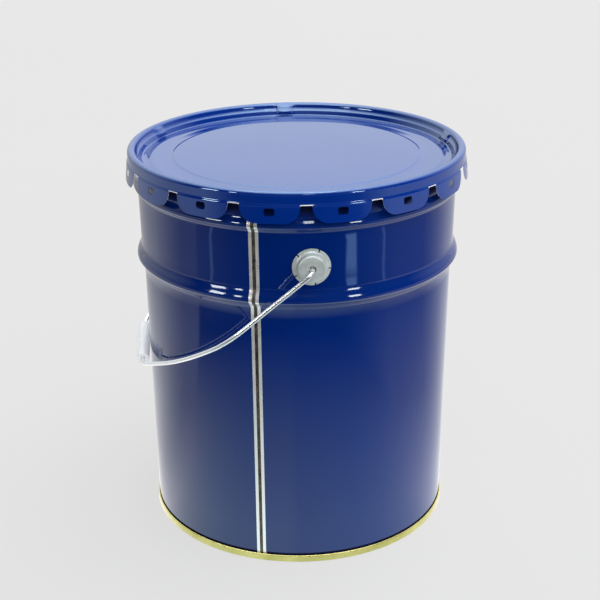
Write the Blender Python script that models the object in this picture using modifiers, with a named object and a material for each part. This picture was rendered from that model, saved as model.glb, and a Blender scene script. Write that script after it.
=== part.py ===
"""Tapered steel paint can with a lug lid, a double-seamed bottom, two ears, a wire bail and a grip.

All dimensions are in millimetres and become metres when a mesh is made. +Z is up, the floor is z = 0,
the ears lie on the Y axis and the bail hangs down on the -X side.
"""
import math

import bmesh
import bpy
from mathutils import Matrix, Vector

MM = 0.001
TURNS = 48                     # facets round every large turned piece
SHEET = 0.4                    # tinplate thickness
GAP = 0.3                      # air between two pieces that touch

# Wall of the body, outside radii
LOWER_RADIUS = 143.35
LOWER_TAPER = 0.0124
UPPER_RADIUS = 142.27
UPPER_TAPER = 0.022
NECK_RADIUS = 150.4

# Large nesting bead: heights of its foot, crest and shoulder
NEST_FOOT = 256.8
NEST_CREST = 264.5
NEST_TOP = 277.0
NEST_RADIUS = 152.8

# Small bead under the lid
BEAD_FOOT = 327.0
BEAD_CREST = 333.5
BEAD_TOP = 342.0
BEAD_RADIUS = 153.4

# Rolled mouth
CURL_RADIUS = 2.8
CURL_HEIGHT = 359.2

# Double seam of the bottom, from the outside in
SEAM_RADIUS = 144.9
SEAM_HEIGHT = 6.8
SEAM_PITCH = SHEET + GAP
HOOK_TIP = 5.4                 # height of the wall hook's edge
HOOK_TURN = 2.6                # height at which the wall turns back up into its hook
COVER_TIP = 3.1                # height of the cover hook's edge
CHUCK_TOP = 6.9                # top of the straight part inside the seam
WALL_FOOT = 9.0                # where the plain wall begins

# Bottom end, from its middle outwards
BOTTOM_PANEL_HEIGHT = 5.0
BOTTOM_PANEL_RISE = 1.0
BOTTOM_PANEL_RADIUS = 116.0
BOTTOM_STEP_RADIUS = 118.5
BOTTOM_FLAT_RADIUS = 133.0
BOTTOM_BEAD_RADIUS = 139.4
BOTTOM_BEAD_ROUND = 2.5
BOTTOM_BEAD_DROP = 0.5
FOOT_ROUND = 0.9

# Sealing ring inside the double seam
RING_FOOT = 0.75
RING_SHOULDER = 1.1
RING_TOP = 1.35
RING_HALF_FOOT = 0.8
RING_HALF_TOP = 0.35

# Lid
RIM_RADIUS = 153.8
RIM_TUBE = 3.9
RIM_TOP = 366.3
LUG_COUNT = 16
LUG_PITCH = 360.0 / LUG_COUNT
LUG_TIP_RADIUS = 160.2
LUG_TIP_HEIGHT = 339.0
LUG_CREASE_RADIUS = 157.9
LUG_CREASE_HEIGHT = 354.5
LUG_CORNER = 14.2
NOTCH_AZIMUTH = -1.8
NOTCH_WIDTH = 10.4
NOTCH_SHOULDER = 0.6
SLOT_WIDTH = 9.2
SLOT_HEIGHT = 6.4
SLOT_CENTRE = 348.8
SLOT_CLIP = 1.4
CUT_FROM = 150.0
CUT_TO = 166.0
CUT_BELOW = 3.0                # how far a notch is cut past the lug tips

# Lid panel, radii and heights of its upper face from the middle outwards
PANEL_RADIUS = 114.6
PANEL_HEIGHT = 357.0
STEP_WIDTH = 2.2
STEP_DROP = 0.9
CHANNEL_RADIUS = 126.5
CHANNEL_HEIGHT = 355.8
RIDGE_RADIUS = 135.5
RIDGE_HEIGHT = 356.2
SEAT_INNER = 139.5
SEAT_OUTER = 143.8
SEAT_HEIGHT = 354.8
FILLET_LOW = (1.1, 0.3)        # two points of the fillet outside the seat, outwards and upwards
FILLET_HIGH = (1.7, 1.1)
LEDGE_INNER = 147.2
LEDGE_OUTER = 148.4
LEDGE_HEIGHT = 359.4
LEDGE_RISE = 0.8

# Ears
HINGE_HEIGHT = 297.0
EAR_THICKNESS = 1.0
EAR_DEPTH = 8.2
EAR_HOLE_RADIUS = 3.5
EAR_DOME_RADIUS = 10.3
EAR_DOME_ROUND = 2.0
EAR_SIDE_RADIUS = 12.9
EAR_SIDE_HEIGHT = 2.4
EAR_STEP_RADIUS = 13.6
EAR_STEP_HEIGHT = 2.0
EAR_FLANGE_INNER = 14.4
EAR_FLANGE_RADIUS = 16.8
EAR_BEND_FROM = 2.0            # above this height the ear keeps clear of the wall's curve
EAR_BEND_OVER = 3.0
EAR_TURNS = 24
EAR_NOTCHES = 5
EAR_NOTCH_FIRST = -6.0
EAR_NOTCH_RADIUS = 17.2
EAR_NOTCH_SIZE = (4.4, 1.3, 8.0)

# Bail
WIRE_RADIUS = 2.0
BAIL_REACH = 199.0
BAIL_SPREAD = 166.0
BAIL_BEND = 6.5                # radius of the turn that leads the wire into the ear
BAIL_HEADING = 2.9             # degrees the straight arms lean inwards
BAIL_RUNS = (("line", 71.6, 0.0), ("arc", 64.0, 34.1), ("arc", 280.0, 18.0), ("line", 30.4, 0.0),
             ("arc", 36.0, 35.0))
BAIL_END_GAP = 1.0
HEAD_RADIUS = 4.8
HEAD_THICKNESS = 2.0
HEAD_SIDES = 20
GRIP_RADIUS = 6.2
GRIP_ROUND = 1.0
GRIP_BORE = 2.6
GRIP_LENGTH = 80.0


def lower_wall(z):
    return LOWER_RADIUS + LOWER_TAPER * z


def upper_wall(z):
    return UPPER_RADIUS + UPPER_TAPER * z


EAR_WALL = upper_wall(HINGE_HEIGHT)


def bail_rest_angle():
    """Angle below the horizontal at which the grip meets the wall."""
    angle = math.radians(40.0)
    for _ in range(20):
        height = HINGE_HEIGHT - BAIL_REACH * math.sin(angle)
        angle = math.acos((lower_wall(height) + GRIP_RADIUS + GAP) / BAIL_REACH)
    return angle


REST_ANGLE = bail_rest_angle()


def clear_scene():
    for thing in list(bpy.data.objects):
        bpy.data.objects.remove(thing, do_unlink=True)


def make_collection(name):
    collection = bpy.data.collections.new(name)
    bpy.context.scene.collection.children.link(collection)
    return collection


def make_material(name, colour, metallic, roughness, alpha=1.0):
    material = bpy.data.materials.new(name)
    material.use_nodes = True
    shader = material.node_tree.nodes["Principled BSDF"]
    shader.inputs["Base Color"].default_value = (*colour, 1.0)
    shader.inputs["Metallic"].default_value = metallic
    shader.inputs["Roughness"].default_value = roughness
    shader.inputs["Alpha"].default_value = alpha
    material.diffuse_color = (*colour, alpha)
    return material


def add_object(name, data, collection, material=None):
    item = bpy.data.objects.new(name, data)
    collection.objects.link(item)
    if material:
        data.materials.append(material)
    return item


def arc(radius_at, height_at, radius, start, end, steps):
    """Points of a profile arc, angles in degrees from +R towards +Z."""
    points = []
    for i in range(steps + 1):
        angle = math.radians(start + (end - start) * i / steps)
        points.append((radius_at + radius * math.cos(angle), height_at + radius * math.sin(angle)))
    return points


def swell(z0, r0, z1, r1, steps):
    """Points of a smooth S-shaped run from one height and radius to another, ends left out."""
    points = []
    for i in range(1, steps):
        t = i / steps
        blend = 0.5 - 0.5 * math.cos(math.pi * t)
        points.append((r0 + (r1 - r0) * blend, z0 + (z1 - z0) * t))
    return points


def offset_line(points, distance):
    """The polyline moved sideways by a distance, to the left of its own direction."""
    moved = []
    for i, point in enumerate(points):
        here = Vector(point)
        before = (here - Vector(points[i - 1])).normalized() if i else None
        after = (Vector(points[i + 1]) - here).normalized() if i + 1 < len(points) else None
        before = before or after
        after = after or before
        left_before = Vector((-before.y, before.x))
        left_after = Vector((-after.y, after.x))
        mitre = (left_before + left_after).normalized()
        moved.append(here + mitre * (distance / mitre.dot(left_after)))
    return [tuple(p) for p in moved]


def sheet_outline(centre_line, thickness=SHEET):
    """Closed outline of a sheet that follows a centre line."""
    left = offset_line(centre_line, thickness / 2)
    right = offset_line(centre_line, -thickness / 2)
    return left + right[::-1]


def signed_area(outline):
    total = 0.0
    for (r0, z0), (r1, z1) in zip(outline, outline[1:] + outline[:1]):
        total += r0 * z1 - r1 * z0
    return total / 2


def turned(name, outline, collection, material, turns=TURNS):
    """A solid of revolution about Z from a closed outline; its outer side runs downwards."""
    if signed_area(outline) > 0:
        outline = outline[::-1]
    on_axis = [i for i, (r, _) in enumerate(outline) if r < 1e-6]
    mesh = bpy.data.meshes.new(name)
    shape = bmesh.new()
    verts = [shape.verts.new((r * MM, 0.0, z * MM)) for r, z in outline]
    for i, vert in enumerate(verts):
        following = (i + 1) % len(verts)
        if i in on_axis and following in on_axis:
            continue
        shape.edges.new((vert, verts[following]))
    shape.to_mesh(mesh)
    shape.free()
    item = add_object(name, mesh, collection, material)
    screw = item.modifiers.new("turn", 'SCREW')
    screw.axis = 'Z'
    screw.angle = math.tau
    screw.steps = turns
    screw.render_steps = turns
    screw.use_merge_vertices = True
    screw.merge_threshold = 0.00001
    return item


def baked(item):
    """Replace an object's curve or modifiers by the mesh they make."""
    bpy.context.view_layer.update()
    graph = bpy.context.evaluated_depsgraph_get()
    mesh = bpy.data.meshes.new_from_object(item.evaluated_get(graph), depsgraph=graph)
    name = item.name
    collection = item.users_collection[0]
    place = item.matrix_world.copy()
    bpy.data.objects.remove(item, do_unlink=True)
    shape = bmesh.new()
    shape.from_mesh(mesh)
    bmesh.ops.remove_doubles(shape, verts=shape.verts, dist=1e-6)
    bmesh.ops.recalc_face_normals(shape, faces=shape.faces)
    shape.to_mesh(mesh)
    shape.free()
    item = bpy.data.objects.new(name, mesh)
    collection.objects.link(item)
    item.matrix_world = place
    return item


def smooth(item, angle=35.0):
    item.data.shade_smooth()
    item.data.set_sharp_from_angle(angle=math.radians(angle))


def boolean(item, cutter, operation):
    modifier = item.modifiers.new(operation.lower(), 'BOOLEAN')
    modifier.operation = operation
    modifier.solver = 'EXACT'
    modifier.object = cutter


def make_cutter(name, shape, collection):
    mesh = bpy.data.meshes.new(name)
    shape.to_mesh(mesh)
    shape.free()
    item = add_object(name, mesh, collection)
    item.hide_render = True
    item.display_type = 'WIRE'
    return item


def body_profile():
    """Centre line of the wall: seam hook, taper, nesting bead, small bead, neck and rolled mouth."""
    half = SHEET / 2
    wall = SEAM_RADIUS - half - 3 * SEAM_PITCH
    hook = SEAM_RADIUS - half - SEAM_PITCH
    turn_radius = (hook - wall) / 2
    line = [(hook, HOOK_TIP)]
    line += arc((hook + wall) / 2, HOOK_TURN, turn_radius, 0, -180, 4)
    line += [(wall, CHUCK_TOP), (lower_wall(WALL_FOOT) - half, WALL_FOOT)]
    line += [(lower_wall(NEST_FOOT) - half, NEST_FOOT)]
    line += swell(NEST_FOOT, lower_wall(NEST_FOOT) - half, NEST_CREST, NEST_RADIUS - half, 4)
    line += [(NEST_RADIUS - half, NEST_CREST)]
    line += swell(NEST_CREST, NEST_RADIUS - half, NEST_TOP, upper_wall(NEST_TOP) - half, 4)
    line += [(upper_wall(NEST_TOP) - half, NEST_TOP), (upper_wall(BEAD_FOOT) - half, BEAD_FOOT)]
    line += swell(BEAD_FOOT, upper_wall(BEAD_FOOT) - half, BEAD_CREST, BEAD_RADIUS - half, 3)
    line += [(BEAD_RADIUS - half, BEAD_CREST)]
    line += swell(BEAD_CREST, BEAD_RADIUS - half, BEAD_TOP, NECK_RADIUS - half, 3)
    line += [(NECK_RADIUS - half, BEAD_TOP)]
    line += arc(NECK_RADIUS - half + CURL_RADIUS, CURL_HEIGHT, CURL_RADIUS, 180, -120, 7)
    return line


def build_body(collection):
    paint = make_material("body_enamel", (0.010, 0.028, 0.20), 0.0, 0.12)
    item = turned("body_shell", sheet_outline(body_profile()), collection, paint)
    item = baked(item)
    smooth(item)
    return item


def bottom_profile():
    """Centre line of the bottom end from its middle to the tip of its cover hook."""
    half = SHEET / 2
    outer = SEAM_RADIUS - half
    chuck = outer - 4 * SEAM_PITCH
    cover = outer - 2 * SEAM_PITCH
    raised = BOTTOM_PANEL_HEIGHT + BOTTOM_PANEL_RISE
    line = [(0.0, raised), (BOTTOM_PANEL_RADIUS, raised)]
    line += [(BOTTOM_STEP_RADIUS, BOTTOM_PANEL_HEIGHT), (BOTTOM_FLAT_RADIUS, BOTTOM_PANEL_HEIGHT)]
    line += arc(BOTTOM_BEAD_RADIUS, BOTTOM_PANEL_HEIGHT - BOTTOM_BEAD_DROP, BOTTOM_BEAD_ROUND, 160, 0, 3)
    line += [(chuck, FOOT_ROUND + half)]
    line += arc(chuck + FOOT_ROUND, FOOT_ROUND + half, FOOT_ROUND, 180, 270, 2)[1:]
    line += arc(outer - FOOT_ROUND, FOOT_ROUND + half, FOOT_ROUND, -90, 0, 2)
    turn_radius = (outer - cover) / 2
    top = SEAM_HEIGHT - half - turn_radius
    line += arc(cover + turn_radius, top, turn_radius, 0, 180, 4)
    line += [(cover, COVER_TIP)]
    return line


def build_bottom(collection):
    gold = make_material("bottom_gold_lacquer", (0.48, 0.40, 0.13), 0.6, 0.32)
    line = bottom_profile()
    upper = offset_line(line, SHEET / 2)
    under = offset_line(line, -SHEET / 2)
    item = turned("bottom_end", upper + under[::-1], collection, gold)
    item = baked(item)
    smooth(item)
    return item


def build_compound(collection):
    """The sealing ring between the turned wall and the turned bottom end."""
    rubber = make_material("seam_compound", (0.62, 0.58, 0.48), 0.0, 0.8)
    middle = SEAM_RADIUS - SHEET / 2 - 2 * SEAM_PITCH
    right = [(RING_HALF_FOOT, RING_FOOT), (RING_HALF_FOOT, RING_SHOULDER), (RING_HALF_TOP, RING_TOP)]
    outline = [(middle + across, z) for across, z in right]
    outline += [(middle - across, z) for across, z in right[::-1]]
    item = baked(turned("bottom_seam_compound", outline, collection, rubber))
    return item


def lid_profile():
    """Centre line of the lid from the middle of its panel to the tips of its lugs."""
    half = SHEET / 2
    face = [(0.0, PANEL_HEIGHT), (PANEL_RADIUS, PANEL_HEIGHT)]
    face += [(PANEL_RADIUS + STEP_WIDTH, PANEL_HEIGHT - STEP_DROP)]
    face += [(CHANNEL_RADIUS, CHANNEL_HEIGHT), (RIDGE_RADIUS, RIDGE_HEIGHT)]
    face += [(SEAT_INNER, SEAT_HEIGHT), (SEAT_OUTER, SEAT_HEIGHT)]
    face += [(SEAT_OUTER + out, SEAT_HEIGHT + up) for out, up in (FILLET_LOW, FILLET_HIGH)]
    face += [(LEDGE_INNER, LEDGE_HEIGHT), (LEDGE_OUTER, LEDGE_HEIGHT + LEDGE_RISE)]
    line = [(r, z - half) for r, z in face]
    line += arc(RIM_RADIUS, RIM_TOP - RIM_TUBE, RIM_TUBE - half, 175, 0, 8)
    line += [(LUG_CREASE_RADIUS - half, LUG_CREASE_HEIGHT), (LUG_TIP_RADIUS - half, LUG_TIP_HEIGHT)]
    return line


def extruded(shape, outline, azimuth, near, far):
    """Add a prism to a bmesh: an outline of (sideways, height) points pushed outwards at an azimuth."""
    angle = math.radians(azimuth)
    outward = Vector((math.sin(angle), -math.cos(angle), 0.0))
    sideways = Vector((math.cos(angle), math.sin(angle), 0.0))
    rings = []
    for distance in (near, far):
        ring = []
        for across, height in outline:
            place = (outward * distance + sideways * across + Vector((0.0, 0.0, height))) * MM
            ring.append(shape.verts.new(place))
        rings.append(ring)
    shape.faces.new(rings[0])
    shape.faces.new(rings[1][::-1])
    count = len(outline)
    for i in range(count):
        j = (i + 1) % count
        shape.faces.new((rings[0][j], rings[0][i], rings[1][i], rings[1][j]))


def notch_outline():
    """Bell-shaped gap between two lugs: a flat top and sides that round away into the lug corners."""
    half = NOTCH_WIDTH / 2
    start = LUG_TIP_HEIGHT + LUG_CORNER
    right = [(half - NOTCH_SHOULDER, LUG_CREASE_HEIGHT)]
    for i in range(7):
        angle = math.radians(90.0 * i / 6)
        across = half + LUG_CORNER * (1 - math.cos(angle))
        right.append((across, start - LUG_CORNER * math.sin(angle)))
    right.append((half + LUG_CORNER, LUG_TIP_HEIGHT - CUT_BELOW))
    return right + [(-across, height) for across, height in right[::-1]]


def slot_outline():
    """Rectangle with clipped corners."""
    across = SLOT_WIDTH / 2
    up = SLOT_HEIGHT / 2
    clip = SLOT_CLIP
    corners = [(across, up - clip), (across - clip, up), (clip - across, up), (-across, up - clip),
               (-across, clip - up), (clip - across, -up), (across - clip, -up), (across, clip - up)]
    return [(x, SLOT_CENTRE + y) for x, y in corners]


def build_lid(collection, cutters):
    paint = make_material("lid_enamel", (0.010, 0.032, 0.24), 0.0, 0.14)
    shape = bmesh.new()
    for i in range(LUG_COUNT):
        notch_at = NOTCH_AZIMUTH + LUG_PITCH * i
        extruded(shape, notch_outline(), notch_at, CUT_FROM, CUT_TO)
        extruded(shape, slot_outline(), notch_at + LUG_PITCH / 2, CUT_FROM, CUT_TO)
    bmesh.ops.recalc_face_normals(shape, faces=shape.faces)
    cutter = make_cutter("lug_cutter", shape, cutters)
    item = turned("lid_panel", sheet_outline(lid_profile()), collection, paint)
    item = baked(item)
    boolean(item, cutter, 'DIFFERENCE')
    smooth(item)
    return item


def build_gasket(collection):
    """Soft ring that fills the rolled rim above the rolled mouth."""
    rubber = make_material("gasket_rubber", (0.10, 0.10, 0.10), 0.0, 0.85)
    channel = RIM_TOP - RIM_TUBE
    outline = arc(RIM_RADIUS, channel, RIM_TUBE - SHEET - GAP, 5, 175, 6)
    item = baked(turned("lid_gasket", outline, collection, rubber))
    smooth(item)
    return item


def ear_profile():
    """Centre line of the stamped ear, (radius, height over the wall), from its hole to its flange."""
    half = EAR_THICKNESS / 2
    face = GAP + EAR_DEPTH - half
    base = GAP + half
    line = [(EAR_HOLE_RADIUS, face)]
    line += arc(EAR_DOME_RADIUS, face - EAR_DOME_ROUND, EAR_DOME_ROUND, 90, 10, 3)
    line += [(EAR_SIDE_RADIUS, base + EAR_SIDE_HEIGHT), (EAR_STEP_RADIUS, base + EAR_STEP_HEIGHT)]
    line += [(EAR_FLANGE_INNER, base), (EAR_FLANGE_RADIUS, base)]
    return line


def curve_to_wall(mesh):
    """Let the flange follow the round, tapered wall while the domed face stays flat."""
    for vert in mesh.vertices:
        height = vert.co.z / MM
        across = vert.co.x / MM
        up = vert.co.y / MM
        wall = upper_wall(HINGE_HEIGHT + up)
        drop = EAR_WALL - math.sqrt(wall * wall - across * across)
        share = 1.0 - min(1.0, max(0.0, (height - EAR_BEND_FROM) / EAR_BEND_OVER))
        vert.co.z = (height - drop * share) * MM


def build_ear(name, side, collection, cutters, material):
    """One ear; side is -1 for the front and +1 for the rear."""
    item = turned(name, sheet_outline(ear_profile(), EAR_THICKNESS), collection, material, EAR_TURNS)
    item = baked(item)
    curve_to_wall(item.data)
    shape = bmesh.new()
    for i in range(EAR_NOTCHES):
        angle = math.radians(EAR_NOTCH_FIRST + 360.0 / EAR_NOTCHES * i)
        place = Matrix.Rotation(angle, 4, 'Z') @ Matrix.Translation((EAR_NOTCH_RADIUS * MM, 0.0, 0.0))
        size = Matrix.Diagonal([length * MM for length in EAR_NOTCH_SIZE] + [1.0])
        bmesh.ops.create_cube(shape, size=1.0, matrix=place @ size)
    cutter = make_cutter(name + "_notches", shape, cutters)
    boolean(item, cutter, 'DIFFERENCE')
    item.data.materials.clear()
    item.data.materials.append(material)
    smooth(item)
    facing = Matrix.Rotation(math.pi if side > 0 else 0.0, 4, 'Z') @ Matrix.Rotation(math.pi / 2, 4, 'X')
    spot = Matrix.Translation((0.0, side * EAR_WALL * MM, HINGE_HEIGHT * MM))
    item.matrix_world = spot @ facing
    cutter.matrix_world = spot @ facing
    return item


def bail_half_path():
    """Points (sideways, reach) of the wire from its head inside an ear to the middle of the grip."""
    end = EAR_WALL + EAR_DEPTH - EAR_THICKNESS - BAIL_END_GAP
    bend = BAIL_BEND
    points = [(end, 0.0)]
    for i in range(5):
        angle = math.radians(90.0 * i / 4)
        points.append((BAIL_SPREAD - bend + bend * math.sin(angle), bend - bend * math.cos(angle)))
    across, reach = BAIL_SPREAD, bend
    heading = BAIL_HEADING
    for kind, amount, turn in BAIL_RUNS:
        if kind == "line":
            across -= amount * math.sin(math.radians(heading))
            reach += amount * math.cos(math.radians(heading))
            points.append((across, reach))
            continue
        steps = 4
        for _ in range(steps):
            step = turn / steps
            length = amount * math.radians(step)
            middle = math.radians(heading + step / 2)
            across -= length * math.sin(middle)
            reach += length * math.cos(middle)
            heading += step
            points.append((across, reach))
    correction = BAIL_REACH / reach
    return [(a, r * correction if r > bend else r) for a, r in points]


def build_bail(collection, cutters):
    """The wire with an upset head at each end; its origin lies on the hinge axis."""
    wire_material = make_material("bail_galvanised", (0.62, 0.64, 0.65), 0.9, 0.28)
    half = bail_half_path()
    path = [(-across, reach) for across, reach in half] + [(across, reach) for across, reach in half[::-1]]
    curve = bpy.data.curves.new("bail_wire", 'CURVE')
    curve.dimensions = '3D'
    curve.bevel_depth = WIRE_RADIUS * MM
    curve.bevel_resolution = 2
    curve.render_resolution_u = 0
    curve.use_fill_caps = True
    spline = curve.splines.new('POLY')
    spline.points.add(len(path) - 1)
    for point, (across, reach) in zip(spline.points, path):
        point.co = (-reach * MM, across * MM, 0.0, 1.0)
    item = add_object("bail_wire", curve, collection)
    item = baked(item)
    item.data.materials.append(wire_material)
    shape = bmesh.new()
    for side in (-1.0, 1.0):
        seat = EAR_WALL + EAR_DEPTH - EAR_THICKNESS - HEAD_THICKNESS / 2
        place = Matrix.Translation((0.0, side * seat * MM, 0.0)) @ Matrix.Rotation(math.pi / 2, 4, 'X')
        bmesh.ops.create_cone(shape, cap_ends=True, segments=HEAD_SIDES, radius1=HEAD_RADIUS * MM,
                              radius2=HEAD_RADIUS * MM, depth=HEAD_THICKNESS * MM, matrix=place)
    heads = make_cutter("bail_heads", shape, cutters)
    boolean(item, heads, 'UNION')
    smooth(item, 50.0)
    place = Matrix.Translation((0.0, 0.0, HINGE_HEIGHT * MM)) @ Matrix.Rotation(-REST_ANGLE, 4, 'Y')
    item.matrix_world = place
    heads.matrix_world = place
    return item


def build_grip(collection, bail):
    """Plastic tube that turns freely on the straight middle of the wire."""
    plastic = make_material("grip_polyethylene", (0.86, 0.87, 0.86), 0.0, 0.4)
    end = GRIP_LENGTH / 2
    outline = [(GRIP_BORE, end), (GRIP_RADIUS - GRIP_ROUND, end)]
    outline += arc(GRIP_RADIUS - GRIP_ROUND, end - GRIP_ROUND, GRIP_ROUND, 60, 0, 2)
    outline += [(r, -z) for r, z in outline[::-1]]
    item = baked(turned("bail_grip", outline, collection, plastic, 24))
    smooth(item)
    item.parent = bail
    item.matrix_parent_inverse = Matrix.Identity(4)
    item.location = (-BAIL_REACH * MM, 0.0, 0.0)
    item.rotation_euler = (math.pi / 2, 0.0, 0.0)
    return item


def main():
    clear_scene()
    can = make_collection("paint_can")
    cutters = make_collection("cutters")
    zinc = make_material("ear_zinc", (0.36, 0.40, 0.39), 0.55, 0.45)
    build_body(can)
    build_bottom(can)
    build_compound(can)
    build_lid(can, cutters)
    build_gasket(can)
    build_ear("ear_front", -1, can, cutters, zinc)
    build_ear("ear_rear", 1, can, cutters, zinc.copy())
    bail = build_bail(can, cutters)
    build_grip(can, bail)


main()
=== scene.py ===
import math

import bmesh
import bpy
from mathutils import Matrix, Vector


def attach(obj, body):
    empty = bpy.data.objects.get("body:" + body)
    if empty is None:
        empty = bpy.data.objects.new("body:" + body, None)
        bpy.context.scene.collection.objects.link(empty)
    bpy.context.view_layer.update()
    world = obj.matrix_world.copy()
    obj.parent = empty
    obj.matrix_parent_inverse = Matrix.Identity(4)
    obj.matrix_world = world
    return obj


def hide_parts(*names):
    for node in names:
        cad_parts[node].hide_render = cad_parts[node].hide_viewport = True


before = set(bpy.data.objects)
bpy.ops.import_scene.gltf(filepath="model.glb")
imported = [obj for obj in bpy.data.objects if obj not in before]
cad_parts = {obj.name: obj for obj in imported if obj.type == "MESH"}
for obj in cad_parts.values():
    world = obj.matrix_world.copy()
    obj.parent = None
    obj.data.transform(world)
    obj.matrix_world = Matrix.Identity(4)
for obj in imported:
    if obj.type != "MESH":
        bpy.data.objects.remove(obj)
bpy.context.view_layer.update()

MM = 0.001

# ---- sizes in millimetres, as in the CAD
SHEET = 0.4
GAP = 0.3
LOWER_RADIUS, LOWER_TAPER = 143.35, 0.0124
UPPER_RADIUS, UPPER_TAPER = 142.27, 0.022
NECK_RADIUS = 150.4
NEST_FOOT, NEST_CREST, NEST_TOP, NEST_RADIUS = 256.8, 264.5, 277.0, 152.8
BEAD_FOOT, BEAD_CREST, BEAD_TOP, BEAD_RADIUS = 327.0, 333.5, 342.0, 153.4
CURL_RADIUS, CURL_HEIGHT = 2.8, 359.2
SEAM_RADIUS, SEAM_HEIGHT, SEAM_PITCH = 144.9, 6.8, 0.7
HOOK_TIP, HOOK_TURN, COVER_TIP = 5.4, 2.6, 3.1
CHUCK_FOOT, CHUCK_TOP, WALL_FOOT, WALL_START = 3.4, 6.9, 9.0, 12.0
BOTTOM_PANEL_HEIGHT, BOTTOM_PANEL_RISE, BOTTOM_CENTRE = 5.0, 1.0, 40.0
BOTTOM_PANEL_RADIUS, BOTTOM_STEP_RADIUS, BOTTOM_FLAT_RADIUS = 116.0, 118.5, 133.0
BOTTOM_BEAD_RADIUS, BOTTOM_BEAD_ROUND, BOTTOM_BEAD_DROP = 139.4, 2.5, 0.5
FOOT_ROUND = 0.9
RIM_RADIUS, RIM_TUBE, RIM_TOP = 153.8, 3.9, 366.3
LUG_COUNT = 16
LUG_PITCH = 360.0 / LUG_COUNT
LUG_TIP_RADIUS, LUG_TIP_HEIGHT = 160.2, 339.0
LUG_CREASE_RADIUS, LUG_CREASE_HEIGHT = 157.9, 354.5
LUG_CORNER = 14.2
NOTCH_AZIMUTH, NOTCH_WIDTH, NOTCH_SHOULDER = -1.8, 10.4, 0.6
SLOT_WIDTH, SLOT_HEIGHT, SLOT_CENTRE, SLOT_ROUND = 9.2, 6.4, 348.8, 2.0
CUT_FROM, CUT_TO, CUT_BELOW = 151.5, 166.0, 3.0
LID_CENTRE = 60.0
PANEL_RADIUS, PANEL_HEIGHT = 114.6, 357.0
STEP_WIDTH, STEP_DROP = 2.2, 0.9
CHANNEL_RADIUS, CHANNEL_HEIGHT = 126.5, 355.8
RIDGE_RADIUS, RIDGE_HEIGHT = 135.5, 356.2
SEAT_INNER, SEAT_OUTER, SEAT_HEIGHT = 139.5, 143.8, 354.8
FILLET_LOW, FILLET_HIGH = (1.1, 0.3), (1.7, 1.1)
LEDGE_INNER, LEDGE_OUTER, LEDGE_HEIGHT, LEDGE_RISE = 147.2, 148.4, 359.4, 0.8
HINGE_HEIGHT = 297.0
EAR_THICKNESS, EAR_FLANGE_RADIUS, EAR_DEPTH, EAR_HOLE_RADIUS = 1.0, 16.8, 8.2, 3.5
EAR_BEND_FROM, EAR_BEND_OVER = 2.0, 3.0
EAR_NOTCHES, EAR_NOTCH_FIRST, EAR_NOTCH_HALF, EAR_NOTCH_RADIUS = 5, -6.0, 2.3, 14.3
EAR_LIP_HEIGHT, EAR_LIP_REACH, EAR_LIP_RADIUS, EAR_LIP_OVER = 0.30, 12.0, 14.0, 1.5
WIRE_RADIUS, BAIL_REACH, BAIL_SPREAD = 2.0, 199.0, 166.0
BAIL_BEND, BAIL_HEADING, BAIL_END_GAP = 6.5, 2.9, 1.0
BAIL_RUNS = (("line", 71.6, 0.0), ("arc", 64.0, 34.1), ("arc", 280.0, 18.0), ("line", 30.4, 0.0),
             ("arc", 36.0, 35.0))
BAIL_STEPS = 12
HEAD_RADIUS, HEAD_THICKNESS, HEAD_ROUND = 4.8, 2.0, 0.5
GRIP_RADIUS, GRIP_BORE, GRIP_LENGTH = 6.2, 2.6, 80.0
GRIP_WAIST, GRIP_STEPS = 0.12, 40
PARTING_HEIGHT, PARTING_HALF = 0.07, 2.0

# Side seam: azimuth of the weld, half width of the weld line and of the bare margins, in degrees
WELD_AZIMUTH = -19.1
WELD_HALF = 0.60
MARGIN_HALF = 1.72

# Square dimples in the inner wall of the lid's rim: azimuths and half width in degrees, then depth and place
NUB_AZIMUTHS = (180.0, -120.0, 100.0, 0.0, 60.0, -80.0)
NUB_HALF, NUB_DEPTH = 3.3, 1.9
NUB_FOOT, NUB_TOP, NUB_FOOT_FADE, NUB_TOP_FADE = 355.5, 364.8, 1.6, 2.4
NUB_WALL_INNER, NUB_WALL_OUTER = 144.5, 151.5

# How finely each piece is turned
WALL_TURNS, LID_TURNS, GASKET_TURNS, EAR_TURNS, GRIP_TURNS = 288, 320, 192, 90, 72
WIRE_SIDES, HEAD_SIDES = 24, 32
SHARP_ANGLE = 32.0


def lower_wall(z):
    return LOWER_RADIUS + LOWER_TAPER * z


def upper_wall(z):
    return UPPER_RADIUS + UPPER_TAPER * z


EAR_WALL = upper_wall(HINGE_HEIGHT)


def rest_angle():
    angle = math.radians(40.0)
    for _ in range(20):
        height = HINGE_HEIGHT - BAIL_REACH * math.sin(angle)
        angle = math.acos((lower_wall(height) + GRIP_RADIUS + GAP) / BAIL_REACH)
    return angle


REST_ANGLE = rest_angle()


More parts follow.
